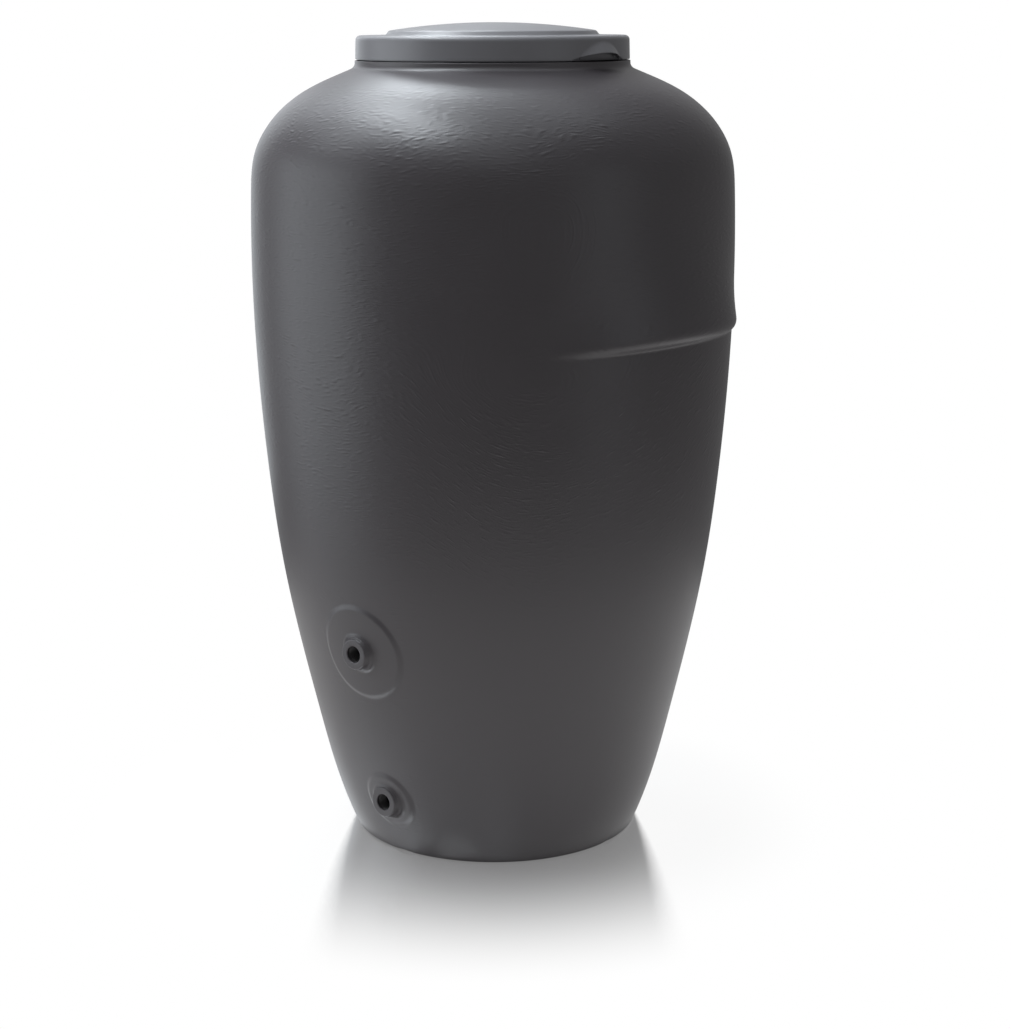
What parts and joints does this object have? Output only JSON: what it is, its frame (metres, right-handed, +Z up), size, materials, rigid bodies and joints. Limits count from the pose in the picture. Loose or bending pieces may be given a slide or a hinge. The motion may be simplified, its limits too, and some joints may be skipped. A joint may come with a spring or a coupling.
{
  "type": "rain barrel",
  "caption": "Tall round-shouldered rain barrel tapering to its foot, with threaded tap outlets, moulded hand ledges and a twist-and-lift lid with finger hoods.",
  "frame": {"origin": "centre of the foot on the ground", "axes": "+Z up along the barrel's axis, -Y towards the tap outlets, +X and -X towards the hand ledges"},
  "size_m": [0.7404, 0.7076, 1.2026],
  "materials": {
    "barrel_shell": "fine leather grain, satin",
    "lid": "smooth satin",
    "lid_seal": "matte",
    "tap_bush": "smooth"
  },
  "bodies": {
    "barrel": {"barrel_shell": "barrel_shell", "lower_tap_bush": "tap_bush", "upper_tap_bush": "tap_bush"},
    "seal": {"lid_seal": "lid_seal"},
    "lid": {"lid": "lid"}
  },
  "joints": [
    {"name": "lid_lift", "type": "slide", "parent": "barrel", "child": "seal", "axis": [0, 0, 1], "range_m": [0, 0.15]},
    {"name": "lid_turn", "type": "hinge", "parent": "seal", "child": "lid", "pos_m": [0, 0, 1.18], "axis": [0, 0, 1], "range_deg": [-40, 0]}
  ]
}
